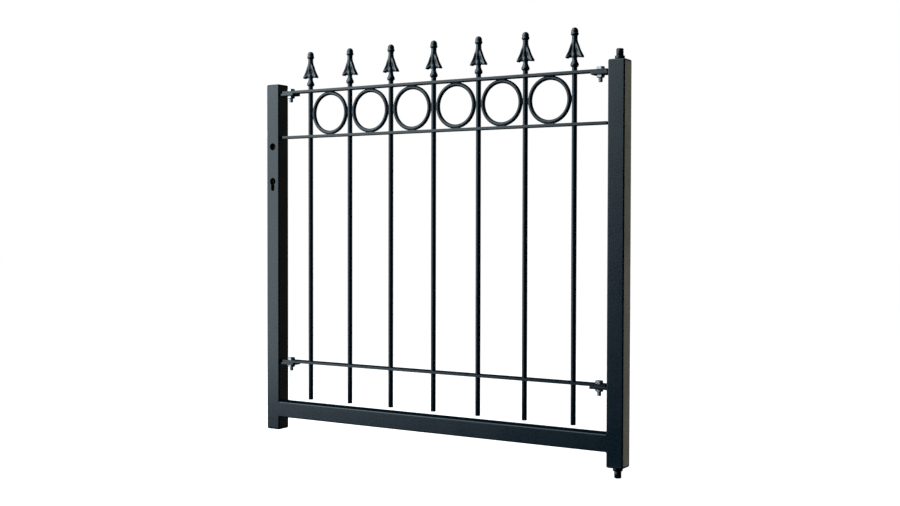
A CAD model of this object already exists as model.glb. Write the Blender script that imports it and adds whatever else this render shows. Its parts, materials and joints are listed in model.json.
"""Garden gate leaf: powder-coated tube frame, bar infill with rings and cast spear
finials, zinc-plated bolts, pivot pins and a mortise lock. Lengths are in metres."""

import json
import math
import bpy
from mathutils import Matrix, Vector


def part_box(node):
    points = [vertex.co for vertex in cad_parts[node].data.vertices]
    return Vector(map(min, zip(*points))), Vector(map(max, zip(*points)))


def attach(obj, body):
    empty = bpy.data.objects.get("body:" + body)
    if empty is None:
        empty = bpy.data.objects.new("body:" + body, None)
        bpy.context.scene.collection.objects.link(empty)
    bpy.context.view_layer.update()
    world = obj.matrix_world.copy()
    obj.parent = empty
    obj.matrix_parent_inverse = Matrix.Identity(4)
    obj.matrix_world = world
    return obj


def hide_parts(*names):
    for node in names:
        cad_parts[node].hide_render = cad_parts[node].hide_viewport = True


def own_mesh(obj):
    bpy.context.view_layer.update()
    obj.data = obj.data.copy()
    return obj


bl_info = {
    "name": "Garden Gate Leaf",
    "version": (1, 0, 0),
    "blender": (4, 5, 0),
    "location": "View3D > Sidebar > Gate",
    "description": "Builds a single-leaf garden gate with spear finials around its packed frame",
    "category": "Object",
}

import bmesh
import bpy
from bpy.props import (
    FloatProperty,
    FloatVectorProperty,
    IntProperty,
    PointerProperty,
)
from mathutils import Matrix, Vector

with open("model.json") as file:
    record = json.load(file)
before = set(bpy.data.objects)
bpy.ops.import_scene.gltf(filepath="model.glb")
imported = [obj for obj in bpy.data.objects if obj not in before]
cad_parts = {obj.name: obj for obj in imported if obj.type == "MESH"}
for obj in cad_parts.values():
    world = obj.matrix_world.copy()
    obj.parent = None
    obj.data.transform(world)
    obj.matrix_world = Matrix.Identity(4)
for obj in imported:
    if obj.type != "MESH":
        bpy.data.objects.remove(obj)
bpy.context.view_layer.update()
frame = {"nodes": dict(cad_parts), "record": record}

MM = 0.001
LEAF = "leaf"
PINS = "pivots"


def span(node):
    """Lowest and highest corner of a part of the frame."""
    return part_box(node)


def numbered(stem):
    """The parts named stem_1, stem_2 and so on."""
    count = sum(n.startswith(stem + "_") and n[len(stem) + 1:].isdigit() for n in frame["nodes"])
    return [f"{stem}_{i}" for i in range(1, count + 1)]


def centre_of(node):
    """Middle of a part of the frame."""
    return (span(node)[0] + span(node)[1]) / 2


def width_of(node):
    """Size of a part of the frame along X."""
    return span(node)[1].x - span(node)[0].x


STILE_LOW, STILE_HIGH = span("hinge_stile")
TUBE = width_of("hinge_stile")
LATCH_X = centre_of("latch_stile").x
CLEAR_LEFT, CLEAR_RIGHT = (corner.x for corner in span("bottom_rail"))
BARS = numbered("bar")
RINGS = numbered("ring")
BAR_XS = [centre_of(bar).x for bar in BARS]
BAR_PITCH = (BAR_XS[-1] - BAR_XS[0]) / (len(BARS) - 1)
BAR_R = width_of("bar_1") / 2
RAILS = ("top_rail", "middle_rail", "lower_rail")
LUGS = ("lug_top_latch", "lug_top_hinge", "lug_lower_latch", "lug_lower_hinge")
PIN_R = width_of("top_pivot_pin") / 2
BOLT_HOLE_R = 0.00525
ROD_R = 0.005
BAR_PLAY = 0.0001
FLANGE_LIP = 0.003
SHARP = math.radians(35)
TURNED_SHARP = math.radians(50)
FACET_SHARP = math.radians(12)
HALF_TURN = Matrix.Rotation(math.pi, 4, "X")


# ---------------------------------------------------------------- settings


def length_setting(name, description, default, low, high):
    """A length setting."""
    return FloatProperty(name=name, description=description, default=default, min=low, max=high,
                         unit="LENGTH", subtype="DISTANCE")


def colour_setting(name, description, *default):
    """A colour setting."""
    return FloatVectorProperty(name=name, description=description, default=default, min=0.0,
                               max=1.0, subtype="COLOR", size=3)


def angle_setting(name, description, degrees):
    """An angle setting."""
    return FloatProperty(name=name, description=description, default=math.radians(degrees),
                         subtype="ANGLE", unit="ROTATION")


def power_setting(name, description, default):
    """A light's power setting."""
    return FloatProperty(name=name, description=description, default=default, min=0.0,
                         max=2000.0, unit="POWER")


class GateShape(bpy.types.PropertyGroup):
    """Sizes that a maker would change."""

    tube_corner: length_setting(
        "Tube corner", "Outer corner radius of the square tube", 0.003, 0.001, 0.006)
    tube_wall: length_setting("Tube wall", "Wall of the square tube", 0.002, 0.001, 0.004)
    cap_rounding: length_setting(
        "Cap rounding", "Rounding round the top of an end cap", 0.0046, 0.001, 0.005)
    edge_softening: length_setting(
        "Edge softening", "Width of the rounded arris that the coat leaves on cut steel",
        0.0006, 0.0001, 0.002)
    bead_width: length_setting("Weld bead width", "Width of a fillet weld", 0.0030, 0.001, 0.006)
    bead_step: length_setting(
        "Weld ripple step", "Distance between two ripples of a weld", 0.0016, 0.0008, 0.004)
    thread_pitch: length_setting(
        "Thread pitch", "Pitch of the rail bolts' thread", 0.0015, 0.0005, 0.003)
    casting_grain: length_setting(
        "Casting detail", "Finest detail kept in a finial's surface", 0.00055, 0.0003, 0.002)
    round_steps: IntProperty(
        name="Steps round a bar", description="Facets round a bar, pin or bolt",
        default=64, min=24, max=128)


class GateFinish(bpy.types.PropertyGroup):
    """Colours and textures of the finishes."""

    coat_colour: colour_setting("Coat", "Anthracite of the powder coat", 0.0006, 0.0108, 0.0212)
    coat_fleck: colour_setting(
        "Coat fleck", "Lighter tone in the grain of the powder coat", 0.0012, 0.0158, 0.0312)
    coat_roughness: FloatProperty(
        name="Coat roughness", description="Roughness of the powder coat",
        default=0.29, min=0.1, max=0.9, subtype="FACTOR")
    zinc_colour: colour_setting("Zinc", "Zinc plating of the bolts and nuts", 0.60, 0.62, 0.65)
    stainless_colour: colour_setting(
        "Stainless", "Brushed stainless steel of the lock's forend", 0.56, 0.56, 0.55)
    nickel_colour: colour_setting("Nickel", "Nickel plating of the lock's bolts", 0.62, 0.59, 0.53)
    sheet_colour: colour_setting(
        "Lock sheet", "Zinc-plated sheet of the lock case", 0.36, 0.37, 0.39)
    nylon_colour: colour_setting("Nylon", "Black nylon of the bushes", 0.011, 0.011, 0.012)


class GateStudio(bpy.types.PropertyGroup):
    """Camera, lights and floor."""

    camera_place: FloatVectorProperty(
        name="Camera", description="Where the camera stands", subtype="TRANSLATION", size=3,
        unit="LENGTH", default=(1.0964, -2.4748, 0.5437))
    camera_turn: angle_setting("Turn", "Camera's turn to the left of straight ahead", 31.802)
    camera_tilt: angle_setting("Tilt", "Camera's tilt above the horizon", -1.328)
    camera_roll: angle_setting("Roll", "Camera's roll about its own line of sight", 0.116)
    camera_lens: FloatProperty(
        name="Lens", description="Focal length in millimetres", default=48.665, min=10, max=200)
    key_power: power_setting("Front light", "Power of the soft light at the front left", 92.0)
    top_power: power_setting("Top light", "Power of the small light at the upper left", 8.0)
    back_power: power_setting("Back light", "Power of the warm light at the back right", 195.0)
    floor_tone: FloatProperty(
        name="Floor tone", description="Brightness that the pale floor has by itself",
        default=1.0, min=0.0, max=2.0)


# ---------------------------------------------------------------- meshes


def linked(name, data):
    """A new object of the scene."""
    made = bpy.data.objects.new(name, data)
    bpy.context.scene.collection.objects.link(made)
    return made


def smoothed(piece):
    """The piece with every face shaded smooth."""
    for polygon in piece.data.polygons:
        polygon.use_smooth = True
    return piece


def polar(radius, angle):
    """The point of a circle at an angle."""
    return radius * math.cos(angle), radius * math.sin(angle)


def mesh_piece(name, bm, material, sharp_angle=SHARP):
    """A piece from a bmesh: normals outward, smooth faces, sharp edges where it turns hard."""
    bmesh.ops.remove_doubles(bm, verts=bm.verts[:], dist=1e-7)
    bmesh.ops.recalc_face_normals(bm, faces=bm.faces[:])
    data = bpy.data.meshes.new(name)
    bm.to_mesh(data)
    bm.free()
    mark_sharp(data, sharp_angle)
    data.materials.append(material)
    return linked(name, data)


def mark_sharp(data, sharp_angle):
    """Smooth faces with sharp edges wherever two faces meet at more than the angle."""
    bm = bmesh.new()
    bm.from_mesh(data)
    for face in bm.faces:
        face.smooth = True
    for edge in bm.edges:
        edge.smooth = edge.calc_face_angle(math.pi) < sharp_angle
    bm.to_mesh(data)
    bm.free()
    if "custom_normal" in data.attributes:
        data.attributes.remove(data.attributes["custom_normal"])


def applied(piece):
    """The piece with its modifiers turned into plain mesh, and none left on it."""
    bpy.context.view_layer.update()
    graph = bpy.context.evaluated_depsgraph_get()
    made = bpy.data.meshes.new_from_object(
        piece.evaluated_get(graph), preserve_all_data_layers=True, depsgraph=graph)
    piece.modifiers.clear()
    old = piece.data
    piece.data = made
    made.name = piece.name
    if old.users == 0 and isinstance(old, bpy.types.Mesh):
        bpy.data.meshes.remove(old)
    return piece


def softened(piece, width, steps=2, angle=math.radians(40)):
    """Rounds a piece's hard edges and keeps its flat faces flat to the light."""
    bevel = piece.modifiers.new("arris", "BEVEL")
    bevel.width = width
    bevel.segments = steps
    bevel.limit_method = "ANGLE"
    bevel.angle_limit = angle
    bevel.harden_normals = False
    bevel.use_clamp_overlap = True
    weighted = piece.modifiers.new("flat_faces", "WEIGHTED_NORMAL")
    weighted.keep_sharp = True
    weighted.weight = 80
    smoothed(piece)
    for edge in piece.data.edges:
        edge.use_edge_sharp = False
    return applied(piece)


def discard(*pieces):
    """Removes helper objects."""
    for piece in pieces:
        bpy.data.objects.remove(piece)


def carved(piece, cutters, operation="DIFFERENCE"):
    """The piece after each cutter is taken away from it, or joined to it."""
    for cutter in cutters:
        carve = piece.modifiers.new("carve", "BOOLEAN")
        carve.operation = operation
        carve.solver = "EXACT"
        carve.object = cutter
        applied(piece)
    discard(*cutters)
    return piece


def rounded_outline(half_x, half_y, radius, steps=8):
    """Points round a rectangle with rounded corners, anticlockwise from +X."""
    points = []
    for sx, sy, start in ((1, 1, 0), (-1, 1, 90), (-1, -1, 180), (1, -1, 270)):
        for k in range(steps + 1):
            u, v = polar(radius, math.radians(start + 90 * k / steps))
            points.append((sx * (half_x - radius) + u, sy * (half_y - radius) + v))
    return points


def loft(bm, rings, close_start=True, close_end=True):
    """Joins rings of points, all of one length, by faces."""
    rows = [[bm.verts.new(p) for p in ring] for ring in rings]
    size = len(rows[0])
    for low, high in zip(rows, rows[1:]):
        for k in range(size):
            n = (k + 1) % size
            bm.faces.new((low[k], low[n], high[n], high[k]))
    if close_start:
        bm.faces.new(rows[0][::-1])
    if close_end:
        bm.faces.new(rows[-1])
    return rows


def turned(bm, profile, steps, place=Matrix()):
    """A turned shape about Z from (radius, height) pairs; a radius of nought is a pole."""
    rows = []
    for radius, height in profile:
        if radius < 1e-6:
            rows.append([bm.verts.new(place @ Vector((0, 0, height)))])
            continue
        rows.append([
            bm.verts.new(place @ Vector((*polar(radius, 2 * math.pi * k / steps), height)))
            for k in range(steps)])
    for low, high in zip(rows, rows[1:]):
        for k in range(steps):
            n = (k + 1) % steps
            if len(low) == 1:
                bm.faces.new((low[0], high[n], high[k]))
            elif len(high) == 1:
                bm.faces.new((low[k], low[n], high[0]))
            else:
                bm.faces.new((low[k], low[n], high[n], high[k]))
    if len(rows[0]) > 1:
        bm.faces.new(rows[0][::-1])
    if len(rows[-1]) > 1:
        bm.faces.new(rows[-1])


def block(bm, low, high):
    """A box between two corners."""
    loft(bm, [[(low[0], low[1], z), (high[0], low[1], z), (high[0], high[1], z),
               (low[0], high[1], z)] for z in (low[2], high[2])])


def lofted(name, rings, material, sharp_angle=SHARP, place=Matrix()):
    """A piece whose skin runs through rings of points."""
    bm = bmesh.new()
    loft(bm, rings)
    bm.transform(place)
    return mesh_piece(name, bm, material, sharp_angle)


def lathed(name, profile, steps, material, place=Matrix(), sharp_angle=TURNED_SHARP):
    """A turned piece."""
    bm = bmesh.new()
    turned(bm, profile, steps, place)
    return mesh_piece(name, bm, material, sharp_angle)


def helper(bm, name="cutter"):
    """A plain object to carve with."""
    bmesh.ops.recalc_face_normals(bm, faces=bm.faces[:])
    data = bpy.data.meshes.new(name)
    bm.to_mesh(data)
    bm.free()
    return linked(name, data)


AXES = {
    "X": Matrix.Rotation(math.pi / 2, 4, "Y"),
    "Y": Matrix.Rotation(-math.pi / 2, 4, "X"),
    "Z": Matrix(),
}


def turned_cutter(profile, steps, place=Matrix()):
    """A turned shape to carve with."""
    bm = bmesh.new()
    turned(bm, profile, steps, place)
    return helper(bm)


def drill(centre, radius, depth, axis, steps=64):
    """A cutter for a round hole along an axis, centred on a point."""
    return turned_cutter([(radius, -depth / 2), (radius, depth / 2)], steps,
                         Matrix.Translation(centre) @ AXES[axis])


def box_cutter(low, high):
    """A cutter for a square opening."""
    bm = bmesh.new()
    block(bm, low, high)
    return helper(bm)


def coated(piece, *nodes):
    """Seats a powder-coated piece on the leaf."""
    return seat(piece, LEAF, "powder_coat", *nodes)


def seat(piece, body, slot, *nodes):
    """Rides a piece on its body, in place of its plain parts."""
    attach(piece, body)
    if nodes:
        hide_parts(*nodes)
    return piece


# ---------------------------------------------------------------- geometry nodes


def new_tree(name, inputs):
    """A Geometry Nodes tree with named inputs, its input sockets and its last node."""
    tree = bpy.data.node_groups.new(name, "GeometryNodeTree")
    tree.interface.new_socket("Geometry", in_out="INPUT", socket_type="NodeSocketGeometry")
    tree.interface.new_socket("Geometry", in_out="OUTPUT", socket_type="NodeSocketGeometry")
    for label, kind in inputs:
        tree.interface.new_socket(label, in_out="INPUT", socket_type=kind)
    return tree, tree.nodes.new("NodeGroupInput").outputs, tree.nodes.new("NodeGroupOutput")


def add_node(tree, kind, links=(), **settings):
    """A node with its settings, and its inputs linked or set by name or number."""
    node = tree.nodes.new(kind)
    for key, value in settings.items():
        setattr(node, key, value)
    for key, value in dict(links).items():
        socket = node.inputs[key]
        if isinstance(value, bpy.types.NodeSocket):
            tree.links.new(value, socket)
        else:
            socket.default_value = value
    return node


def end_tree(tree, given, end, geometry):
    """Realize Instances and Set Material, then the output."""
    real = add_node(tree, "GeometryNodeRealizeInstances", {"Geometry": geometry})
    finish = add_node(tree, "GeometryNodeSetMaterial", {
        "Geometry": real.outputs[0], "Material": given["Finish"]})
    tree.links.new(finish.outputs[0], end.inputs[0])


def run_tree(piece, tree, values):
    """Runs a tree on a piece with its inputs set by socket, and leaves plain mesh."""
    node = piece.modifiers.new(tree.name, "NODES")
    node.node_group = tree
    for item in tree.interface.items_tree:
        if item.item_type == "SOCKET" and item.in_out == "INPUT" and item.name in values:
            node[item.identifier] = values[item.name]
    return applied(piece)


def coat_with(piece, finish):
    """Leaves a piece with one material."""
    piece.data.materials.clear()
    piece.data.materials.append(finish)


def points_host(name, points, edges=()):
    """An object of loose points or paths, for a tree to place things on."""
    data = bpy.data.meshes.new(name)
    data.from_pydata([tuple(p) for p in points], list(edges), [])
    return linked(name, data)


def place_tree():
    """Tree that puts one shape on every point."""
    if "place_on_points" in bpy.data.node_groups:
        return bpy.data.node_groups["place_on_points"]
    tree, given, end = new_tree("place_on_points", [
        ("Shape", "NodeSocketObject"), ("Turn", "NodeSocketRotation"),
        ("Finish", "NodeSocketMaterial")])
    shape = add_node(tree, "GeometryNodeObjectInfo", {"Object": given["Shape"]})
    put = add_node(tree, "GeometryNodeInstanceOnPoints", {
        "Points": given["Geometry"], "Instance": shape.outputs["Geometry"],
        "Rotation": given["Turn"]})
    end_tree(tree, given, end, put.outputs[0])
    return tree


def placed(name, shape, points, finish):
    """One piece with the shape repeated on every point."""
    host = points_host(name, points)
    run_tree(host, place_tree(), {"Shape": shape, "Finish": finish})
    coat_with(host, finish)
    discard(shape)
    return host


ROW_INPUTS = [("Count", "NodeSocketInt"), ("First", "NodeSocketVector"),
              ("Pitch", "NodeSocketVector"), ("Finish", "NodeSocketMaterial")]


def end_row(tree, given, end, shape):
    """Repeats a shape along a line at an even pitch, and ends the tree."""
    line = add_node(tree, "GeometryNodeMeshLine", {
        "Count": given["Count"], "Start Location": given["First"],
        "Offset": given["Pitch"]}, mode="OFFSET")
    put = add_node(tree, "GeometryNodeInstanceOnPoints", {
        "Points": line.outputs[0], "Instance": shape})
    end_tree(tree, given, end, put.outputs[0])
    return tree


def row_tree():
    """Tree that repeats one shape along X at an even pitch."""
    tree, given, end = new_tree("row_along_rail", [("Shape", "NodeSocketObject"), *ROW_INPUTS])
    shape = add_node(tree, "GeometryNodeObjectInfo", {"Object": given["Shape"]})
    return end_row(tree, given, end, shape.outputs["Geometry"])


def ring_tree():
    """Tree that bends a round bar into a ring and repeats it along the rail."""
    tree, given, end = new_tree("row_of_rings", [
        ("Ring radius", "NodeSocketFloat"), ("Wire radius", "NodeSocketFloat"),
        ("Ring steps", "NodeSocketInt"), ("Wire steps", "NodeSocketInt"), *ROW_INPUTS])
    loop = add_node(tree, "GeometryNodeCurvePrimitiveCircle", {
        "Resolution": given["Ring steps"], "Radius": given["Ring radius"]})
    wire = add_node(tree, "GeometryNodeCurvePrimitiveCircle", {
        "Resolution": given["Wire steps"], "Radius": given["Wire radius"]})
    ring = add_node(tree, "GeometryNodeCurveToMesh", {
        "Curve": loop.outputs[0], "Profile Curve": wire.outputs[0]})
    upright = add_node(tree, "GeometryNodeTransform", {
        "Geometry": ring.outputs[0], "Rotation": (math.pi / 2, 0, 0)})
    return end_row(tree, given, end, upright.outputs[0])


def bead_tree():
    """Tree that lays a rippled weld bead along each path."""
    tree, given, end = new_tree("weld_beads", [
        ("Step", "NodeSocketFloat"), ("Radius", "NodeSocketFloat"), ("Seed", "NodeSocketInt"),
        ("Finish", "NodeSocketMaterial")])
    path = add_node(tree, "GeometryNodeMeshToCurve", {"Mesh": given["Geometry"]})
    core_size = add_node(tree, "ShaderNodeMath", {
        0: given["Radius"], 1: 0.8}, operation="MULTIPLY")
    core_round = add_node(tree, "GeometryNodeCurvePrimitiveCircle", {
        "Resolution": 8, "Radius": core_size.outputs[0]})
    core = add_node(tree, "GeometryNodeCurveToMesh", {
        "Curve": path.outputs[0], "Profile Curve": core_round.outputs[0], "Fill Caps": True})
    dots = add_node(tree, "GeometryNodeCurveToPoints", {
        "Curve": path.outputs[0], "Length": given["Step"]}, mode="LENGTH")
    ripple = add_node(tree, "GeometryNodeMeshUVSphere", {
        "Segments": 8, "Rings": 5, "Radius": given["Radius"]})
    vary = add_node(tree, "FunctionNodeRandomValue", {
        "Min": (0.7, 0.9, 0.9), "Max": (0.85, 1.1, 1.1), "Seed": given["Seed"]},
        data_type="FLOAT_VECTOR")
    put = add_node(tree, "GeometryNodeInstanceOnPoints", {
        "Points": dots.outputs["Points"], "Instance": ripple.outputs[0],
        "Rotation": dots.outputs["Rotation"], "Scale": vary.outputs[0]})
    both = tree.nodes.new("GeometryNodeJoinGeometry")
    tree.links.new(put.outputs[0], both.inputs[0])
    tree.links.new(core.outputs[0], both.inputs[0])
    smooth = add_node(tree, "GeometryNodeSetShadeSmooth", {"Geometry": both.outputs[0]})
    end_tree(tree, given, end, smooth.outputs[0])
    return tree


def laid_beads(name, paths, radius, step, finish, seed):
    """One piece of weld beads along paths, each a list of points and whether it closes."""
    points, edges = [], []
    for path, closed in paths:
        first = len(points)
        points += path
        edges += [(k, k + 1) for k in range(first, len(points) - 1)]
        if closed:
            edges.append((len(points) - 1, first))
    host = points_host(name, points, edges)
    run_tree(host, bead_tree(), {"Step": step, "Radius": radius, "Seed": seed, "Finish": finish})
    coat_with(host, finish)
    return host


# ---------------------------------------------------------------- finishes


def shader(name):
    """A new material with its Principled shader and its object coordinates."""
    material = bpy.data.materials.new(name)
    material.use_nodes = True
    nodes = material.node_tree.nodes
    main = next(n for n in nodes if n.type == "BSDF_PRINCIPLED")
    where = nodes.new("ShaderNodeTexCoord")
    return material, main, where.outputs["Object"]


def noise_at(material, where, size, detail=2.0, stretch=(1, 1, 1)):
    """A noise pattern whose features are about as large as size."""
    tree = material.node_tree
    mapping = add_node(tree, "ShaderNodeMapping", {"Vector": where, "Scale": stretch})
    texture = add_node(tree, "ShaderNodeTexNoise", {
        "Vector": mapping.outputs[0], "Scale": 1.0 / size, "Detail": detail, "Roughness": 0.55})
    return texture.outputs["Fac"]


def spread(material, value, low, high, start=0.3, stop=0.7):
    """The pattern stretched between two values."""
    node = add_node(material.node_tree, "ShaderNodeMapRange", {
        "Value": value, "From Min": start, "From Max": stop, "To Min": low, "To Max": high})
    return node.outputs[0]


# The colour sockets of a Mix node, which share their names with its other sockets
MIX_A, MIX_B, MIX_RESULT = 6, 7, 2


def two_tones(material, factor, dark, light):
    """A colour between two tones."""
    node = add_node(material.node_tree, "ShaderNodeMix", {0: factor}, data_type="RGBA")
    node.inputs[MIX_A].default_value = (*dark, 1)
    node.inputs[MIX_B].default_value = (*light, 1)
    return node.outputs[MIX_RESULT]


def added(material, one, other):
    """The sum of two patterns."""
    return add_node(material.node_tree, "ShaderNodeMath", {0: one, 1: other},
                    operation="ADD").outputs[0]


def painted(material, main, pattern, dark, light):
    """Gives the shader a colour that the pattern moves between two tones."""
    link(material, two_tones(material, pattern, dark, light), main.inputs["Base Color"])


def relief(material, layers, main):
    """Bump from several patterns, each a pattern and its depth."""
    below = None
    for pattern, depth in layers:
        bump = add_node(material.node_tree, "ShaderNodeBump", {
            "Height": pattern, "Strength": 0.6, "Distance": depth})
        if below is not None:
            link(material, below, bump.inputs["Normal"])
        below = bump.outputs[0]
    link(material, below, main.inputs["Normal"])


def link(material, value, socket):
    """Links two sockets of a material."""
    material.node_tree.links.new(value, socket)


def powder_coat(name, finish, casting=False):
    """Fine-textured anthracite powder coat; a casting shows its sand skin under it."""
    material, main, where = shader(name)
    fine = noise_at(material, where, 0.9 * MM, 3.0)
    fleck = noise_at(material, where, 3.2 * MM, 4.0)
    cloud = noise_at(material, where, 60 * MM, 2.0)
    tone = added(material, spread(material, fleck, 0.0, 0.75), spread(material, cloud, 0.0, 0.25))
    painted(material, main, tone, finish.coat_colour, finish.coat_fleck)
    even = finish.coat_roughness
    link(material, added(material, spread(material, fleck, -0.035, 0.035),
                         spread(material, cloud, even - 0.02, even + 0.02)),
         main.inputs["Roughness"])
    layers = [(fine, 0.012 * MM), (fleck, 0.018 * MM)]
    if casting:
        layers.append((noise_at(material, where, 1.6 * MM, 4.0), 0.05 * MM))
    relief(material, layers, main)
    main.inputs["IOR"].default_value = 1.52
    main.inputs["Specular IOR Level"].default_value = 0.8 if casting else 0.5
    return material


def plated(name, colour, dulled, mottle, fine, sheen):
    """Metal with a mottled sheen. A mottle is its size and detail, a fine pattern its size and
    depth, in millimetres; a sheen is its lowest and highest roughness."""
    material, main, where = shader(name)
    mottled = noise_at(material, where, mottle[0] * MM, mottle[1])
    grain = noise_at(material, where, fine[0] * MM, 2.0)
    painted(material, main, spread(material, mottled, 0, 1), [dulled * c for c in colour], colour)
    link(material, spread(material, mottled, *sheen), main.inputs["Roughness"])
    relief(material, [(grain, fine[1] * MM), (mottled, 0.02 * MM)], main)
    main.inputs["Metallic"].default_value = 1.0
    return material


def brushed_steel(colour):
    """Stainless steel brushed along its length."""
    material, main, where = shader("brushed_stainless")
    lines = noise_at(material, where, 0.25 * MM, 3.0, (1, 1, 0.02))
    wide = noise_at(material, where, 14 * MM, 2.0)
    painted(material, main, spread(material, lines, 0, 1), [0.88 * c for c in colour], colour)
    link(material, added(material, spread(material, lines, 0.24, 0.38),
                         spread(material, wide, -0.02, 0.04)), main.inputs["Roughness"])
    relief(material, [(lines, 0.012 * MM)], main)
    main.inputs["Metallic"].default_value = 1.0
    main.inputs["Anisotropic"].default_value = 0.4
    return material


def black_nylon(colour):
    """Moulded nylon with a satin skin."""
    material, main, where = shader("black_nylon")
    skin = noise_at(material, where, 0.6 * MM, 3.0)
    cloud = noise_at(material, where, 8 * MM, 2.0)
    painted(material, main, spread(material, cloud, 0, 1), colour, [1.5 * c for c in colour])
    link(material, spread(material, skin, 0.42, 0.55), main.inputs["Roughness"])
    relief(material, [(skin, 0.02 * MM)], main)
    return material


FINISHES = {}


def make_finishes(finish):
    """All finishes of the gate, by the record's slot."""
    FINISHES.clear()
    FINISHES["powder_coat"] = powder_coat("anthracite_powder_coat", finish)
    FINISHES["coated_casting"] = powder_coat("anthracite_coated_casting", finish, casting=True)
    FINISHES["zinc_plate"] = plated(
        "bright_zinc", finish.zinc_colour, 0.86, (2.4, 3.0), (0.35, 0.01), (0.36, 0.48))
    FINISHES["bush_nylon"] = black_nylon(finish.nylon_colour)
    FINISHES["stainless"] = brushed_steel(finish.stainless_colour)
    FINISHES["lock_steel"] = plated(
        "plated_lock_sheet", finish.sheet_colour, 0.8, (5, 4.0), (0.4, 0.008), (0.34, 0.5))
    FINISHES["nickel_plate"] = plated(
        "nickel_plate", finish.nickel_colour, 0.8, (4, 4.0), (0.4, 0.008), (0.2, 0.32))


# ---------------------------------------------------------------- pieces


def bore_corner(shape):
    """Corner radius inside the square tube."""
    return max(shape.tube_corner - shape.tube_wall, 0.0008)


def tube_along_z(bm, tall, shape, low=0.0):
    """Square tube standing on a height, open at both ends."""
    half = TUBE / 2
    bare = half - shape.tube_wall
    rows, bore = (
        loft(bm, [[(x, y, z) for x, y in outline] for z in (low, low + tall)], False, False)
        for outline in (rounded_outline(half, half, shape.tube_corner),
                        rounded_outline(bare, bare, bore_corner(shape))))
    for end in (0, 1):
        size = len(rows[end])
        for k in range(size):
            n = (k + 1) % size
            bm.faces.new((rows[end][k], rows[end][n], bore[end][n], bore[end][k]))


class GATE_OT_frame_tubes(bpy.types.Operator):
    """Build both stiles and the bottom rail from square tube, with the lock's openings"""

    bl_idname = "gate.frame_tubes"
    bl_label = "Frame tubes"

    def execute(self, context):
        shape = context.scene.gate_shape
        for node, x in (("latch_stile", LATCH_X), ("hinge_stile", 0.0)):
            low, high = span(node)
            bm = bmesh.new()
            tube_along_z(bm, high.z - low.z, shape, low.z)
            bm.transform(Matrix.Translation((x, 0, 0)))
            stile = mesh_piece(node + "_tube", bm, FINISHES["powder_coat"])
            if node == "latch_stile":
                carved(stile, self.lock_cutters())
            softened(stile, shape.edge_softening)
            coated(stile, node)
        low, high = span("bottom_rail")
        bm = bmesh.new()
        tube_along_z(bm, high.x - low.x, shape)
        bm.transform(Matrix.Translation((low.x, 0, (low.z + high.z) / 2)) @ AXES["X"])
        rail = mesh_piece("bottom_rail_tube", bm, FINISHES["powder_coat"])
        coated(softened(rail, shape.edge_softening), "bottom_rail")
        return {"FINISHED"}

    def lock_cutters(self):
        """Cutters for the spindle, the lock cylinder, the lock case and the forend screws."""
        spindle_z, cylinder_z = lock_heights()
        face = LATCH_X - TUBE / 2
        case_low, case_high = span("lock_case")
        across = 1.2 * TUBE
        return [
            drill((LATCH_X, 0, spindle_z), SPINDLE_HOLE_R, across, "Y"),
            cylinder_cutter((LATCH_X, 0, cylinder_z), across),
            box_cutter((face - CUT_OUT, case_low.y - CASE_PLAY, case_low.z - CASE_PLAY),
                       (face + CUT_IN, case_high.y + CASE_PLAY, case_high.z + CASE_PLAY)),
            *(drill((face, 0, z), SCREW_R, 0.008, "X", 32) for z in screw_heights()),
        ]


SPINDLE_HOLE_R = 0.009
CYLINDER_R = 0.009
CYLINDER_SLOT = 0.011
CYLINDER_HIGH = 0.034
SCREW_INSET = 0.0095
SCREW_R = 0.0025
CASE_PLAY = 0.0005
CUT_OUT, CUT_IN = 0.001, 0.003


def screw_heights():
    """Heights of the forend's two screws."""
    low, high = span("lock_forend")
    return (low.z + SCREW_INSET, high.z - SCREW_INSET)


def lock_heights():
    """Heights of the lever spindle and of the lock cylinder's round part."""
    heights = {m["name"]: m["pos_m"][2] for m in frame["record"]["mounts"]}
    return heights["lever_spindle"], heights["lock_cylinder"]


def cylinder_cutter(centre, across):
    """A cutter with the outline of a lock cylinder: round above, narrow below."""
    half = CYLINDER_SLOT / 2
    drop = CYLINDER_HIGH - CYLINDER_R - half
    meet = math.asin(half / CYLINDER_R)
    outline = []
    steps = 48
    for k in range(steps + 1):
        outline.append(polar(
            CYLINDER_R, -math.pi / 2 + meet + (2 * math.pi - 2 * meet) * k / steps))
    for k in range(steps // 2 + 1):
        u, v = polar(half, math.pi + math.pi * k / (steps // 2))
        outline.append((u, v - drop))
    bm = bmesh.new()
    x, y, z = centre
    loft(bm, [[(x + u, y + s * across / 2, z + v) for u, v in outline] for s in (-1, 1)])
    return helper(bm)


PLUG_PLAY = 0.0001
CAP_SEAM = 0.0004


def cap_rings(shape, head, plug):
    """Rings of an end cap: plug, eave, rounded head."""
    half, corner = TUBE / 2, shape.tube_corner
    inner = half - shape.tube_wall - PLUG_PLAY
    levels = [(-plug, inner, bore_corner(shape)), (0.0, inner, bore_corner(shape)),
              (0.0, half - CAP_SEAM, corner - CAP_SEAM), (CAP_SEAM, half, corner)]
    rise = min(shape.cap_rounding, head - CAP_SEAM)
    steps = 8
    for k in range(steps + 1):
        a = math.pi / 2 * k / steps
        inset = rise * (1 - math.cos(a))
        levels.append((head - rise + rise * math.sin(a), half - inset,
                       max(corner - 0.45 * inset, 0.0012)))
    return [[(x, y, z) for x, y in rounded_outline(reach, reach, radius)]
            for z, reach, radius in levels]


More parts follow.
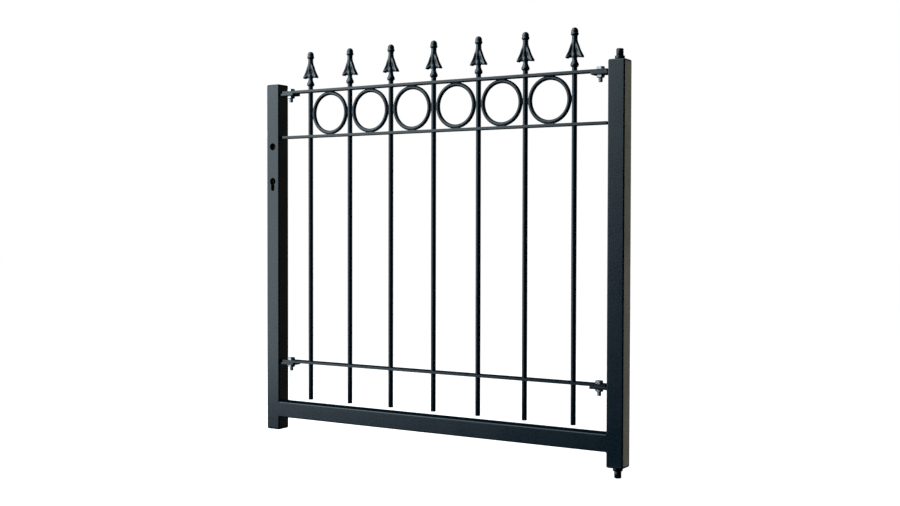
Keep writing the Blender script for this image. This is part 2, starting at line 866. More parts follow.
class GATE_OT_end_caps(bpy.types.Operator):
    """Build the rounded end caps and the pivot blocks at the stiles' ends"""

    bl_idname = "gate.end_caps"
    bl_label = "End caps and pivot blocks"

    def execute(self, context):
        top = span("latch_stile_top_cap")[1].z
        foot = span("latch_stile_foot_cap")[0].z
        head = top - STILE_HIGH.z
        caps = (
            ("latch_stile_top_cap", "latch_stile_top_plug", LATCH_X, 1, top),
            ("latch_stile_foot_cap", "latch_stile_foot_plug", LATCH_X, -1, foot),
            ("top_pivot_block", "top_pivot_housing", 0.0, 1, top),
            ("bottom_pivot_block", "bottom_pivot_housing", 0.0, -1, foot),
        )
        for node, name, x, way, face in caps:
            low, high = span(node)
            plug = high.z - low.z - head
            turn = Matrix() if way > 0 else HALF_TURN
            cap = lofted(name, cap_rings(context.scene.gate_shape, head, plug),
                         FINISHES["powder_coat"], TURNED_SHARP,
                         Matrix.Translation((x, 0, face - way * head)) @ turn)
            if "pivot" in node:
                flange_r = width_of("top_bush" if way > 0 else "bottom_bush") / 2
                carved(cap, [
                    drill((x, 0, face), flange_r, 0.004, "Z"),
                    drill((x, 0, face), flange_r - FLANGE_LIP, 2.2 * plug + 0.02, "Z"),
                ])
                mark_sharp(cap.data, SHARP)
            coated(cap, node)
        return {"FINISHED"}


class GATE_OT_flat_rails(bpy.types.Operator):
    """Build the three flat rails, drilled for the bars and the bolts"""

    bl_idname = "gate.flat_rails"
    bl_label = "Flat rails"

    def execute(self, context):
        shape = context.scene.gate_shape
        for node in RAILS:
            low, high = span(node)
            bm = bmesh.new()
            block(bm, low, high)
            rail = mesh_piece(node.replace("_rail", "_flat"), bm, FINISHES["powder_coat"])
            middle = (low.z + high.z) / 2
            deep = 3 * (high.z - low.z)
            cutters = [drill((x, 0, middle), BAR_R + BAR_PLAY, deep, "Z") for x in BAR_XS]
            if node != "middle_rail":
                cutters += [drill((x, 0, middle), BOLT_HOLE_R, deep, "Z") for x in bolt_xs()]
            carved(rail, cutters)
            coated(softened(rail, 1.2 * shape.edge_softening), node)
        return {"FINISHED"}


def bolt_xs():
    """Where the two bolts of a rail stand."""
    low, high = span("rail_bolts")
    half = (span("rail_nuts")[1].y - span("rail_nuts")[0].y) / 2 / math.cos(math.pi / 6)
    return (low.x + half, high.x - half)


class GATE_OT_bars(bpy.types.Operator):
    """Build the upright round bars as one row with softened ends"""

    bl_idname = "gate.bars"
    bl_label = "Upright bars"

    def execute(self, context):
        low, high = span("bar_1")
        tall = high.z - low.z
        soft = 0.0012
        profile = [(0, 0), (BAR_R - soft, 0)]
        profile += [
            (BAR_R - soft + soft * math.sin(a), soft - soft * math.cos(a))
            for a in (math.radians(d) for d in (22, 45, 67, 90))]
        profile += [(BAR_R, tall * k / 12) for k in range(1, 12)]
        profile += [(BAR_R, tall), (0, tall)]
        coat = FINISHES["powder_coat"]
        bar = lathed("bar_shape", profile, context.scene.gate_shape.round_steps, coat,
                     sharp_angle=SHARP)
        host = points_host("infill_bars", [(0, 0, 0)])
        run_tree(host, row_tree(), {
            "Shape": bar, "Count": len(BARS), "First": (BAR_XS[0], 0.0, low.z),
            "Pitch": (BAR_PITCH, 0.0, 0.0), "Finish": coat})
        discard(bar)
        coated(host, *BARS)
        return {"FINISHED"}


class GATE_OT_rings(bpy.types.Operator):
    """Build the row of rings between the two upper rails"""

    bl_idname = "gate.rings"
    bl_label = "Rings"

    def execute(self, context):
        low, high = span("ring_1")
        wire = (high.y - low.y) / 2
        across = (high.x - low.x) / 2
        host = points_host("ring_row", [(0, 0, 0)])
        run_tree(host, ring_tree(), {
            "Count": len(RINGS), "First": tuple(centre_of("ring_1")),
            "Pitch": (BAR_PITCH, 0.0, 0.0),
            "Ring radius": across - wire, "Wire radius": wire, "Ring steps": 96,
            "Wire steps": 28, "Finish": FINISHES["powder_coat"]})
        coated(smoothed(host), *RINGS)
        return {"FINISHED"}


# Heights and half-widths in millimetres of a casting 88 high
WING_REACH = ((64, 6.3), (60, 6.9), (56, 7.8), (52, 8.9), (45, 11.0), (37, 14.0), (29, 18.3),
              (25, 20.7), (22.8, 21.8), (21.4, 21.5), (20.3, 20.6), (19.5, 19.0))
RIDGE_REACH = ((64, 6.3), (58, 6.5), (52, 6.8), (45, 7.2), (38, 7.7), (30, 8.2), (19.5, 8.6))
FLUTE_DEPTH = ((64, 6.3), (60, 6.0), (56, 5.4), (52, 4.7), (45, 3.7), (37, 3.0), (29, 2.6),
               (22, 2.4))
LIP_DEPTH = ((64, 6.3), (60, 5.9), (56, 5.5), (52, 5.1), (45, 4.9), (37, 5.2), (29, 5.9),
             (22, 6.2), (19.5, 5.4))
NECK_R = 6.3
HEM_CURL, HEM_ROLL, HEM_CORE_R = 0.22, 2.4, 5.2
HEM_HEIGHT = ((0, 19.6), (0.22, 19.8), (0.33, 20.9), (0.44, 23.4), (0.56, 27.2), (0.67, 31.5),
              (0.78, 35.5), (1, 40))
CORE_PROFILE = (
    (0, 0), (7.2, 0), (8.4, 0.6), (9.2, 2.2), (9.5, 4.0), (9.4, 5.6), (8.7, 7.4), (7.6, 9.4),
    (6.7, 11.6), (6.0, 14.0), (5.6, 16.5), (5.7, 20), (6.7, 22.5), (7.2, 25), (6.7, 33),
    (4.4, 40), (3.6, 46), (3.6, 58), (6.4, 66), (6.4, 69), (7.2, 70.3), (8.6, 71.6), (9.0, 73.0),
    (8.8, 74.6), (8.1, 75.8), (7.8, 77.2), (8.0, 79.0), (7.75, 81.2), (7.0, 83.6), (5.7, 85.6),
    (4.0, 87.0), (2.0, 87.8), (0, 88.0))


def between(table, at):
    """Reads a table of pairs at a value, straight between its rows."""
    rows = sorted(table)
    if at <= rows[0][0]:
        return rows[0][1]
    for (a, va), (b, vb) in zip(rows, rows[1:]):
        if at <= b:
            return va + (vb - va) * (at - a) / (b - a)
    return rows[-1][1]


def eased(low, high, at):
    """0 below low, 1 above high, smooth between."""
    t = min(max((at - low) / (high - low), 0.0), 1.0)
    return t * t * (3 - 2 * t)


def through(points, t):
    """A smooth curve through points, at a share of its length in points."""
    last = len(points) - 1
    k = min(int(t * last), last - 1)
    f = t * last - k
    p = [points[max(min(k + d, last), 0)] for d in (-1, 0, 1, 2)]
    return tuple(
        0.5 * (2 * p[1][c] + (p[2][c] - p[0][c]) * f
               + (2 * p[0][c] - 5 * p[1][c] + 4 * p[2][c] - p[3][c]) * f * f
               + (3 * p[1][c] - p[0][c] - 3 * p[2][c] + p[3][c]) * f ** 3)
        for c in (0, 1))


def spear_section(share, z):
    """A point of a quarter of the spear's section: share 0 is the wing's tip, 1 the ridge."""
    wing, ridge = between(WING_REACH, z), between(RIDGE_REACH, z)
    flute, lip = between(FLUTE_DEPTH, z), between(LIP_DEPTH, z)
    a = share * math.pi / 2
    points = (
        (wing, 0.0), (wing - 0.4, 0.6 * lip), (0.91 * wing, 0.98 * lip), (0.79 * wing, 0.97 * lip),
        (0.62 * wing, 0.6 * lip + 0.4 * flute), (0.46 * wing, 0.25 * lip + 0.75 * flute),
        (0.30 * wing, flute), (0.18 * wing, 0.3 * ridge + 0.6 * flute), (0.08 * wing, 0.9 * ridge),
        (0.0, ridge))
    x, y = through(points, share)
    blade = 1 - eased(46, 65, z)
    return (NECK_R * math.cos(a) * (1 - blade) + x * blade,
            NECK_R * math.sin(a) * (1 - blade) + y * blade)


def spear_blade(bm):
    """Winged blade with a ridge front and back, fluted between and hollow below."""
    quarter, levels, top = 28, 36, 66.0
    shares = [k / quarter for k in range(quarter + 1)]
    loop = 2 * (shares[:-1] + shares[:0:-1])
    signs = [sign for sign in ((1, 1), (-1, 1), (-1, -1), (1, -1)) for k in range(quarter)]
    hem = []
    for share, (sx, sy) in zip(loop, signs):
        z = between(HEM_HEIGHT, share)
        x, y = spear_section(share, z)
        a = math.atan2(y, x)
        out = eased(5.5, 10.0, x)
        inner = ((1 - out) * HEM_CORE_R * math.cos(a) + out * (x - 1.0),
                 (1 - out) * HEM_CORE_R * math.sin(a) + out * 0.4 * y)
        hem.append((sx * inner[0], sy * inner[1], min(z + 0.1, 20.6) + 1.6 * (1 - out)))
    rings = [hem]
    for level in range(levels + 1):
        ring = []
        for share, (sx, sy) in zip(loop, signs):
            low = between(HEM_HEIGHT, share)
            z = low + (top - low) * (level / levels) ** 1.15
            x, y = spear_section(share, z)
            curl = 1 + HEM_CURL * math.exp(-((z - low) / HEM_ROLL) ** 2)
            ring.append((sx * x, sy * y * curl, z))
        rings.append(ring)
    loft(bm, rings)


def spear_shape(shape, steps):
    """One finial casting, base on Z = 0, its skin drawn together as one surface."""
    bm = bmesh.new()
    spear_blade(bm)
    turned(bm, CORE_PROFILE, steps)
    bm.transform(Matrix.Scale(MM, 4))
    casting = helper(bm, "spear_shape")
    skin = casting.modifiers.new("skin", "REMESH")
    skin.mode = "VOXEL"
    skin.voxel_size = shape.casting_grain * 1.0
    skin.use_smooth_shade = True
    ease = casting.modifiers.new("ease", "SMOOTH")
    ease.factor = 0.5
    ease.iterations = 4
    return applied(casting)


class GATE_OT_finials(bpy.types.Operator):
    """Cast the spear finials and set one on every bar"""

    bl_idname = "gate.finials"
    bl_label = "Spear finials"

    def execute(self, context):
        shape = context.scene.gate_shape
        low, high = span("finial_1")
        casting = spear_shape(shape, shape.round_steps)
        points = [v.co for v in casting.data.vertices]
        reach = max(abs(p.x) for p in points)
        top = max(p.z for p in points)
        bottom = min(p.z for p in points)
        fit = Matrix.Diagonal((
            (high.x - low.x) / 2 / reach, 1.0, (high.z - low.z) / (top - bottom), 1.0))
        for i, x in enumerate(BAR_XS, 1):
            data = casting.data.copy()
            data.transform(Matrix.Translation((x, 0, low.z)) @ fit
                           @ Matrix.Translation((0, 0, -bottom)))
            data.name = f"spear_finial_{i}"
            finial = smoothed(linked(data.name, data))
            coat_with(finial, FINISHES["coated_casting"])
            seat(finial, LEAF, "coated_casting", f"finial_{i}")
        discard(casting)
        return {"FINISHED"}


class GATE_OT_lugs(bpy.types.Operator):
    """Build the four lugs that carry the bolted rails"""

    bl_idname = "gate.lugs"
    bl_label = "Lugs"

    def execute(self, context):
        shape = context.scene.gate_shape
        for node in LUGS:
            low, high = span(node)
            middle = (low + high) / 2
            half = (high - low) / 2
            outline = rounded_outline(half.x, half.y, 0.004)
            plate = lofted(
                node + "_plate",
                [[(middle.x + x, y, z) for x, y in outline] for z in (low.z, high.z)],
                FINISHES["powder_coat"])
            x = bolt_xs()[0] if "latch" in node else bolt_xs()[1]
            carved(plate, [drill((x, 0, middle.z), BOLT_HOLE_R, 0.03, "Z")])
            coated(softened(plate, 1.3 * shape.edge_softening), node)
        return {"FINISHED"}


def chamfered_hex(name, flats, low, high, both_ends, material):
    """Hexagon whose corners are turned off at thirty degrees."""
    corner = flats / 2 / math.cos(math.pi / 6)
    prism = lofted(name, [[(*polar(corner, math.pi / 3 * k), z) for k in range(6)]
                          for z in (low, high)], material)
    corner *= 1.02
    face = 0.475 * flats
    drop = (corner - face) * math.tan(math.radians(30))
    profile = [(0, high), (face, high), (corner, high - drop)]
    profile += [(corner, low + drop), (face, low)] if both_ends else [(corner, low)]
    profile += [(0, low)]
    return carved(prism, [turned_cutter(profile[::-1], 72)], "INTERSECT")


def finish_faceted(piece, bm):
    """Writes a mesh back to its piece and keeps its facets flat."""
    bm.to_mesh(piece.data)
    bm.free()
    mark_sharp(piece.data, FACET_SHARP)


def threaded_rod(bm, radius, low, high, pitch, steps=36):
    """A rod with a helical thread, chamfered at its lower end."""
    per_turn = 8
    rows = int((high - low) / pitch * per_turn)
    depth = 0.54 * pitch
    rings = []
    for k in range(rows + 1):
        z = low + (high - low) * k / rows
        fade = min(1.0, (z - low) / (1.2 * pitch))
        ring = []
        for j in range(steps):
            turn = (z / pitch - j / steps) % 1.0
            cut = depth * (1 - 2 * abs(turn - 0.5)) ** 0.8
            r = (radius - cut) * (0.84 + 0.16 * fade)
            ring.append((*polar(r, 2 * math.pi * j / steps), z))
        rings.append(ring)
    loft(bm, rings)


class GATE_OT_fixings(bpy.types.Operator):
    """Build the zinc-plated bolts and nuts that hold the rails to the lugs"""

    bl_idname = "gate.fixings"
    bl_label = "Bolts and nuts"

    def execute(self, context):
        shape = context.scene.gate_shape
        zinc = FINISHES["zinc_plate"]
        low, high = span("rail_bolts")
        nuts_low, nuts_high = span("rail_nuts")
        flats = nuts_high.y - nuts_low.y
        seats = [span(rail)[1].z for rail in ("top_rail", "lower_rail")]
        head = high.z - max(seats)
        shank = min(seats) - low.z
        top_nut = max(seats) - nuts_high.z
        nut = min(seats) - top_nut - nuts_low.z
        stands = [(x, 0, z) for x in bolt_xs() for z in seats]

        bolt = chamfered_hex("bolt_shape", flats, 0.0003, head, False, zinc)
        softened(bolt, 0.0003, 2, math.radians(25))
        bm = bmesh.new()
        bm.from_mesh(bolt.data)
        turned(bm, [(0.46 * flats, 0), (0.47 * flats, 0.0004)], 72)
        threaded_rod(bm, ROD_R, -shank, 0.0, shape.thread_pitch)
        finish_faceted(bolt, bm)
        bolts = placed("rail_bolt_set", bolt, stands, zinc)
        seat(bolts, LEAF, "zinc_plate", "rail_bolts")

        nut_shape = chamfered_hex("nut_shape", flats, -top_nut - nut, -top_nut, True, zinc)
        bore = drill((0, 0, -top_nut - nut / 2), ROD_R - 0.0004, 3 * nut, "Z", 48)
        flare = turned_cutter([(ROD_R + 0.0012, -top_nut - nut - 0.0006),
                               (ROD_R - 0.0006, -top_nut - nut + 0.0012)], 48)
        carved(nut_shape, [bore, flare])
        softened(nut_shape, 0.00025, 2, math.radians(25))
        mark_sharp(nut_shape.data, FACET_SHARP)
        nuts = placed("rail_nut_set", nut_shape, stands, zinc)
        seat(nuts, LEAF, "zinc_plate", "rail_nuts")
        return {"FINISHED"}


def ring_path(x, y, z, radius, steps=24):
    """Points round a level circle, closed."""
    turns = (polar(radius, math.radians(360.0 * k / steps)) for k in range(steps))
    return [(x + u, y + v, z) for u, v in turns], True


def line_path(a, b, steps=10):
    """Points along a straight line."""
    return [tuple(p + (q - p) * k / steps for p, q in zip(a, b)) for k in range(steps + 1)], False


# Half the length of a ring's welds to a rail and to a bar, and how deep and how proud they sit
RAIL_TACK, BAR_TACK = 0.010, 0.006
RAIL_TACK_SINK, BAR_TACK_RISE = 0.0007, 0.0006


class GATE_OT_welds(bpy.types.Operator):
    """Lay the rippled welds that join bars, rings, rails, lugs, finials and stiles"""

    bl_idname = "gate.welds"
    bl_label = "Welds"

    def execute(self, context):
        shape = context.scene.gate_shape
        coat = FINISHES["powder_coat"]
        radius = shape.bead_width / 2
        small = 0.62 * radius
        finial_z = span("finial_1")[0].z
        for name, size, seed, paths in (
                ("bar_welds", small, 11, [
                    ring_path(x, 0, span(rail)[0].z - 0.1 * small, BAR_R + 0.25 * small)
                    for x in BAR_XS for rail in RAILS]),
                ("finial_welds", small, 12, [
                    ring_path(x, 0, finial_z - 0.1 * small, BAR_R + 0.3 * small)
                    for x in BAR_XS]),
                ("ring_welds", 0.85 * radius, 13, self.ring_tacks()),
                ("lug_welds", 0.9 * radius, 14, self.lug_seams(radius)),
                ("rail_end_welds", radius, 15, self.rail_end_seams(shape, radius))):
            coated(laid_beads(name, paths, size, shape.bead_step, coat, seed))
        coated(self.dressed_corners(shape.tube_corner, coat))
        return {"FINISHED"}

    def ring_tacks(self):
        """Short welds of every ring to the rails over and under it and the bars beside it."""
        tacks = []
        for ring in RINGS:
            low, high = span(ring)
            centre = (low + high) / 2
            wire = (high.y - low.y) / 2
            for side in (-1, 1):
                z = (high.z if side > 0 else low.z) - side * RAIL_TACK_SINK
                x = (high.x if side > 0 else low.x) + side * BAR_TACK_RISE
                left, right = centre.x - RAIL_TACK, centre.x + RAIL_TACK
                foot, top = centre.z - BAR_TACK, centre.z + BAR_TACK
                for y in (-0.55 * wire, 0.55 * wire):
                    tacks.append(line_path((left, y, z), (right, y, z)))
                for y in (-0.3 * wire, 0.3 * wire):
                    tacks.append(line_path((x, y, foot), (x, y, top)))
        return tacks

    def lug_seams(self, radius):
        """Welds over and under each lug, across the stile's face."""
        seams = []
        for node in LUGS:
            low, high = span(node)
            x = CLEAR_LEFT + 0.2 * radius if "latch" in node else CLEAR_RIGHT - 0.2 * radius
            edge = 0.8 * (high.y - low.y) / 2
            seams += [line_path((x, -edge, z), (x, edge, z), 12) for z in (low.z, high.z)]
        return seams

    def rail_end_seams(self, shape, radius):
        """Welds over and under the bottom rail's ends."""
        half = TUBE / 2 - shape.tube_corner
        heights = [corner.z for corner in span("bottom_rail")]
        return [line_path((x, -half, z), (x, half, z), 16)
                for x in (CLEAR_LEFT + 0.15 * radius, CLEAR_RIGHT - 0.15 * radius)
                for z in heights]

    def dressed_corners(self, corner, coat):
        """Welds ground flush where the rounded edges of the tubes meet, front and back."""
        low, high = span("bottom_rail")
        bm = bmesh.new()
        for x, way in ((CLEAR_LEFT, -1), (CLEAR_RIGHT, 1)):
            for side in (-1, 1):
                outline = [(0.0, TUBE / 2 - 0.00005)]
                for k in range(9):
                    a = math.pi / 2 * k / 8
                    outline.append((way * corner * (1 - math.cos(a)),
                                    TUBE / 2 - corner + corner * math.sin(a)))
                loft(bm, [[(x + u, side * v, z) for u, v in outline]
                          for z in (low.z + corner, high.z - corner)])
        return mesh_piece("dressed_welds", bm, coat)


BLOCK_HEAD = 0.004
COLLAR_GAP = 0.0003
SPIGOT_R, JOURNAL_R = 0.008, 0.007
BUSH_PLAY = 0.00005


class GATE_OT_pivots(bpy.types.Operator):
    """Turn the pivot pins and the nylon bushes"""

    bl_idname = "gate.pivots"
    bl_label = "Pivot pins and bushes"

    def execute(self, context):
        steps = context.scene.gate_shape.round_steps
        low, high = span("bottom_pivot_pin")
        collar = STILE_LOW.z - BLOCK_HEAD - COLLAR_GAP
        soft, lead, neck_r = 0.0008, 0.0014, SPIGOT_R - 0.0003
        profile = [
            (0, low.z), (SPIGOT_R - lead, low.z), (SPIGOT_R, low.z + lead),
            (SPIGOT_R, -0.0006), (neck_r, -0.0003), (neck_r, 0.0),
            (PIN_R - soft, 0.0), (PIN_R - 0.3 * soft, 0.3 * soft), (PIN_R, soft),
            (PIN_R, collar - soft), (PIN_R - 0.3 * soft, collar - 0.3 * soft),
            (PIN_R - soft, collar), (JOURNAL_R, collar), (JOURNAL_R, high.z - 0.001),
            (JOURNAL_R - 0.001, high.z), (0, high.z)]
        top = span("top_pivot_pin")[1].z
        for name, node, place in (
                ("bottom_turned_pin", "bottom_pivot_pin", Matrix()),
                ("top_turned_pin", "top_pivot_pin",
                 Matrix.Translation((0, 0, top + low.z)) @ HALF_TURN)):
            seat(lathed(name, profile, steps, FINISHES["powder_coat"], place),
                 PINS, "powder_coat", node)

        low, high = span("top_bush")
        flange_r = (high.x - low.x) / 2
        outer_r = flange_r - FLANGE_LIP + BUSH_PLAY
        bore_r = JOURNAL_R + BUSH_PLAY
        profile = [
            (0, low.z), (outer_r - 0.0008, low.z), (outer_r, low.z + 0.0008),
            (outer_r, high.z - 0.002), (flange_r, high.z - 0.002), (flange_r, high.z - 0.0004),
            (flange_r - 0.0004, high.z), (bore_r + 0.0006, high.z), (bore_r, high.z - 0.0006),
            (bore_r, low.z + 0.003), (0, low.z + 0.003)]
        middle = STILE_LOW.z + STILE_HIGH.z
        for name, node, place in (
                ("top_flanged_bush", "top_bush", Matrix()),
                ("bottom_flanged_bush", "bottom_bush",
                 Matrix.Translation((0, 0, middle)) @ HALF_TURN)):
            seat(lathed(name, profile, steps, FINISHES["bush_nylon"], place),
                 LEAF, "bush_nylon", node)
        return {"FINISHED"}


class GATE_OT_lock(bpy.types.Operator):
    """Build the lock's forend, screws, two bolts and latch spring, and finish its case"""

    bl_idname = "gate.lock"
    bl_label = "Mortise lock"

    def execute(self, context):
        steel = FINISHES["stainless"]
        low, high = span("lock_forend")
        half = (high.y - low.y) / 2
        outline = []
        for centre, start in ((high.z - half, 0), (low.z + half, 180)):
            for k in range(25):
                u, v = polar(half, math.radians(start + 180 * k / 24))
                outline.append((u, centre + v))
        plate = lofted("forend_plate", [[(x, y, z) for y, z in outline] for x in (low.x, high.x)],
                       steel)
        cutters = []
        for node in ("latch_bolt", "dead_bolt"):
            a, b = span(node)
            foot = b.z - LATCH_HEAD if node == "latch_bolt" else a.z
            cutters.append(box_cutter(
                (low.x - 0.002, a.y - BOLT_PLAY, foot - BOLT_PLAY),
                (high.x + 0.002, b.y + BOLT_PLAY, b.z + BOLT_PLAY)))
        for z in screw_heights():
            cutters.append(turned_cutter(
                [(0.0052, -0.0002), (0.0050, 0.0), (SCREW_R, 0.0025), (SCREW_R, 0.01)], 48,
                Matrix.Translation((low.x, 0, z)) @ AXES["X"]))
        carved(plate, cutters)
        seat(softened(plate, 0.00035), LEAF, "stainless", "lock_forend")
        self.screws(low.x, steel)
        self.bolts(FINISHES["nickel_plate"])
        self.spring(FINISHES["lock_steel"])
        for node, slot in (("lock_case", "lock_steel"), ("lock_case_cover", "lock_steel"),
                           ("case_screws", "lock_steel"), ("follower", "nickel_plate")):
            part = frame["nodes"][node]
            coat_with(part, FINISHES[slot])
        return {"FINISHED"}

    def spring(self, steel):
        """Coil spring behind the latch bolt, which the bolt squeezes as it draws back."""
        low, high = span("latch_spring")
        middle = (low + high) / 2
        wire = SPRING_WIRE / 2
        coil = (high.z - low.z) / 2 - wire
        sides, per_turn = 12, 32
        steps = SPRING_TURNS * per_turn
        rings = []
        for k in range(steps + 1):
            a = 2 * math.pi * k / per_turn
            climb = min(max((k - per_turn / 2) / (steps - per_turn), 0.0), 1.0)
            x = low.x + wire + (high.x - low.x - 2 * wire) * climb
            ring = []
            for j in range(sides):
                out, along = polar(wire, 2 * math.pi * j / sides)
                u, v = polar(coil + out, a)
                ring.append((x + along, middle.y + u, middle.z + v))
            rings.append(ring)
        spring = lofted("latch_coil_spring", rings, steel, math.radians(60))
        seat(spring, LEAF, "lock_steel", "latch_spring")
        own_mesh(spring)

    def screws(self, face, steel):
        """Countersunk forend screws with a cross recess."""
        profile = [(0, 0.0), (0.0048, 0.0), (0.0049, 0.0002), (SCREW_R, 0.0025),
                   (SCREW_R, 0.014), (0, 0.0145)]
        screw = lathed("screw_shape", profile, 48, steel, AXES["X"], SHARP)
        carved(screw, [box_cutter((-0.001, -wide, -tall), (0.0016, wide, tall))
                       for wide, tall in ((0.0006, 0.0023), (0.0023, 0.0006))])
        mark_sharp(screw.data, SHARP)
        points = [(face + 0.00002, 0, z) for z in screw_heights()]
        seat(placed("forend_screw_set", screw, points, steel), LEAF, "stainless", "forend_screws")

    def bolts(self, nickel):
        """Latch bolt with its bevelled nose and hook, and the dead bolt."""
        low, high = span("latch_bolt")
        y0, y1 = low.y, high.y
        back = low.x + LATCH_HEAD - 0.0003
        nose = [(back, y0), (back, y1), (low.x + LATCH_HEAD / 2, y1),
                (low.x, y0 + 0.002), (low.x, y0)]
        bolt = lofted("latch_bolt_head", [
            [(x, y, z) for x, y in nose] for z in (high.z - LATCH_HEAD, high.z)], nickel)
        softened(bolt, 0.0006, 3)
        arm_z = SPINDLE_TO_HOOK + lock_heights()[0]
        bm = bmesh.new()
        bm.from_mesh(bolt.data)
        block(bm, (low.x + LATCH_HEAD - 0.0005, -TAIL_HALF, arm_z + 0.0028),
              (high.x, TAIL_HALF, arm_z + 0.0088))
        block(bm, (high.x - 0.0025, -TAIL_HALF, low.z), (high.x, TAIL_HALF, arm_z + 0.003))
        finish_faceted(bolt, bm)
        seat(bolt, "latch", "nickel_plate", "latch_bolt")
        low, high = span("dead_bolt")
        half = (high - low) / 2
        middle = (high + low) / 2
        outline = rounded_outline(half.y, half.z, 0.0012, 5)
        rings = []
        for x, inset in ((low.x, 0.0008), (low.x + 0.0003, 0.0003), (low.x + 0.0008, 0.0),
                         (high.x - 0.0006, 0.0), (high.x, 0.0006)):
            shrunk_y, shrunk_z = 1 - inset / half.y, 1 - inset / half.z
            rings.append([(x, middle.y + y * shrunk_y, middle.z + z * shrunk_z)
                          for y, z in outline])
        seat(lofted("dead_bolt_bar", rings, nickel, TURNED_SHARP),
             "deadlock", "nickel_plate", "dead_bolt")


BOLT_PLAY = 0.0003
LATCH_HEAD = 0.020
TAIL_HALF = 0.003
SPINDLE_TO_HOOK = 0.023
SPRING_WIRE = 0.001
SPRING_TURNS = 7


# ---------------------------------------------------------------- studio


COOL_WHITE = (0.85, 0.975, 1.0)
WARM_WHITE = (1.0, 0.975, 0.80)
DARK_ROOM = (0.016, 0.020, 0.024, 1)
FLOOR_GAP = 0.0005
FLOOR_REACH = 14.0


def soft_light(name, place, aim, size, power, colour):
    """A rectangular light at a place, turned to a point, unseen by the camera."""
    data = bpy.data.lights.new(name, "AREA")
    data.shape = "RECTANGLE"
    data.size, data.size_y = size
    data.energy = power
    data.color = colour
    light = linked(name, data)
    turn = (Vector(aim) - Vector(place)).to_track_quat("-Z", "Y")
    light.matrix_world = Matrix.Translation(place) @ turn.to_matrix().to_4x4()
    light.visible_camera = False


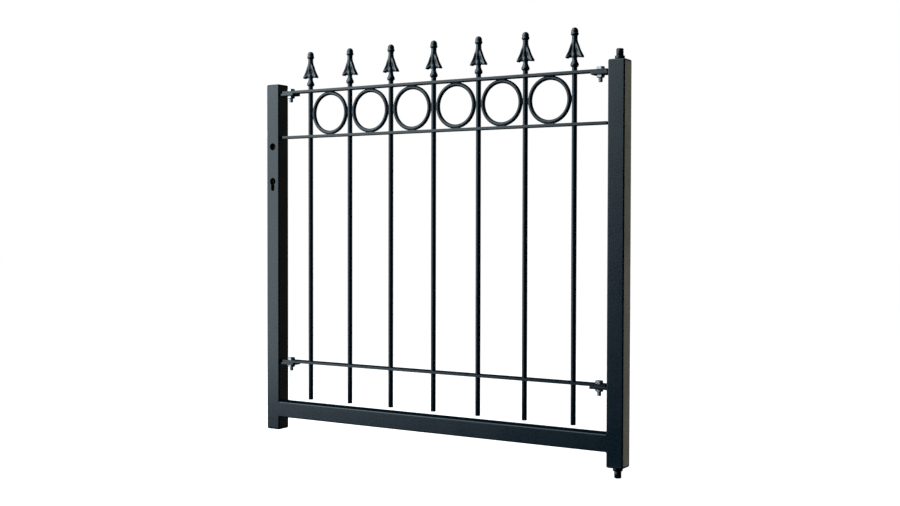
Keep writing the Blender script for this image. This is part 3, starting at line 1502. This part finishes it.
class GATE_OT_stage(bpy.types.Operator):
    """Set the camera, the soft lights, the white surroundings and the pale floor"""

    bl_idname = "gate.stage"
    bl_label = "Studio"

    def execute(self, context):
        studio = context.scene.gate_studio
        scene = context.scene
        self.camera(scene, studio)
        self.surroundings(scene)
        self.floor(studio)
        soft_light("front_left_softbox", (-1.697, -1.381, 1.543), (-0.18, -0.671, 0.45),
                   (2.89, 4.34), studio.key_power, COOL_WHITE)
        soft_light("top_left_softbox", (-2.6, -2.0, 1.75), (-0.97, 0, 0.8), (0.8, 0.8),
                   studio.top_power, COOL_WHITE)
        soft_light("back_right_panel", (7.6, 20.0, 0.4), (0.0, 0, 0.45), (3.5, 14.0),
                   studio.back_power, WARM_WHITE)
        scene.view_settings.view_transform = "Standard"
        scene.view_settings.look = "None"
        return {"FINISHED"}

    def camera(self, scene, studio):
        """The camera, from its place, its turn, its tilt and its roll."""
        data = bpy.data.cameras.new("gate_camera")
        data.lens = studio.camera_lens
        data.sensor_width = 36
        data.clip_start, data.clip_end = 0.05, 60
        data.dof.use_dof = False
        camera = linked("gate_camera", data)
        turn, tilt, roll = studio.camera_turn, studio.camera_tilt, studio.camera_roll
        level = math.cos(tilt)
        ahead = Vector((-math.sin(turn) * level, math.cos(turn) * level, math.sin(tilt)))
        right = ahead.cross(Vector((0, 0, 1))).normalized()
        up = right.cross(ahead)
        right_rolled = math.cos(roll) * right + math.sin(roll) * up
        up_rolled = right_rolled.cross(ahead)
        basis = Matrix((right_rolled, up_rolled, -ahead)).transposed().to_4x4()
        camera.matrix_world = Matrix.Translation(studio.camera_place) @ basis
        scene.camera = camera

    def surroundings(self, scene):
        """White behind the gate, dark where the gate looks into."""
        world = bpy.data.worlds.new("studio_surroundings")
        scene.world = world
        world.use_nodes = True
        tree = world.node_tree
        tree.nodes.clear()
        path = tree.nodes.new("ShaderNodeLightPath")
        white = add_node(tree, "ShaderNodeBackground", {"Color": (1, 1, 1, 1), "Strength": 1.0})
        dark = add_node(tree, "ShaderNodeBackground", {"Color": DARK_ROOM, "Strength": 0.1})
        mix = add_node(tree, "ShaderNodeMixShader", {
            0: path.outputs["Is Camera Ray"], 1: dark.outputs[0], 2: white.outputs[0]})
        out = tree.nodes.new("ShaderNodeOutputWorld")
        tree.links.new(mix.outputs[0], out.inputs[0])

    def floor(self, studio):
        """A wide pale floor just under the bottom pin."""
        level = span("bottom_pivot_pin")[0].z - FLOOR_GAP
        bm = bmesh.new()
        bmesh.ops.create_grid(bm, x_segments=4, y_segments=4, size=FLOOR_REACH)
        bm.transform(Matrix.Translation((0, 0, level)))
        material, main, where = shader("pale_floor")
        cloud = noise_at(material, where, 0.4, 2.0)
        link(material, two_tones(material, cloud, (0.86, 0.86, 0.86), (0.9, 0.9, 0.9)),
             main.inputs["Base Color"])
        main.inputs["Roughness"].default_value = 0.9
        main.inputs["Specular IOR Level"].default_value = 0.0
        main.inputs["Emission Color"].default_value = (1, 1, 1, 1)
        main.inputs["Emission Strength"].default_value = studio.floor_tone
        floor = mesh_piece("floor", bm, material)
        floor.visible_glossy = False
        floor.visible_diffuse = False
        floor.visible_shadow = False


# ---------------------------------------------------------------- panel and run


STEPS = (
    GATE_OT_frame_tubes,
    GATE_OT_end_caps,
    GATE_OT_flat_rails,
    GATE_OT_bars,
    GATE_OT_rings,
    GATE_OT_finials,
    GATE_OT_lugs,
    GATE_OT_fixings,
    GATE_OT_welds,
    GATE_OT_pivots,
    GATE_OT_lock,
    GATE_OT_stage,
)


class GATE_PT_panel(bpy.types.Panel):
    """Lists the gate's building steps and their sizes"""

    bl_idname = "GATE_PT_panel"
    bl_label = "Garden Gate"
    bl_space_type = "VIEW_3D"
    bl_region_type = "UI"
    bl_category = "Gate"

    def draw(self, context):
        for step in STEPS:
            self.layout.operator(step.bl_idname)
        scene = context.scene
        for group in (scene.gate_shape, scene.gate_finish, scene.gate_studio):
            box = self.layout.box()
            for name in group.__annotations__:
                box.prop(group, name)


CLASSES = (GateShape, GateFinish, GateStudio, *STEPS, GATE_PT_panel)


def register():
    """Adds the add-on's classes and its settings to Blender."""
    for item in CLASSES:
        bpy.utils.register_class(item)
    bpy.types.Scene.gate_shape = PointerProperty(type=GateShape)
    bpy.types.Scene.gate_finish = PointerProperty(type=GateFinish)
    bpy.types.Scene.gate_studio = PointerProperty(type=GateStudio)


def unregister():
    """Takes the add-on's settings and classes out again."""
    del bpy.types.Scene.gate_studio
    del bpy.types.Scene.gate_finish
    del bpy.types.Scene.gate_shape
    for item in reversed(CLASSES):
        bpy.utils.unregister_class(item)


def main():
    """Builds every piece and the studio."""
    register()
    make_finishes(bpy.context.scene.gate_finish)
    for step in STEPS:
        group, name = step.bl_idname.split(".")
        result = getattr(getattr(bpy.ops, group), name)()
        if result != {"FINISHED"}:
            raise RuntimeError(step.bl_label + " did not finish")
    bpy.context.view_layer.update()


if __name__ == "__main__":
    main()
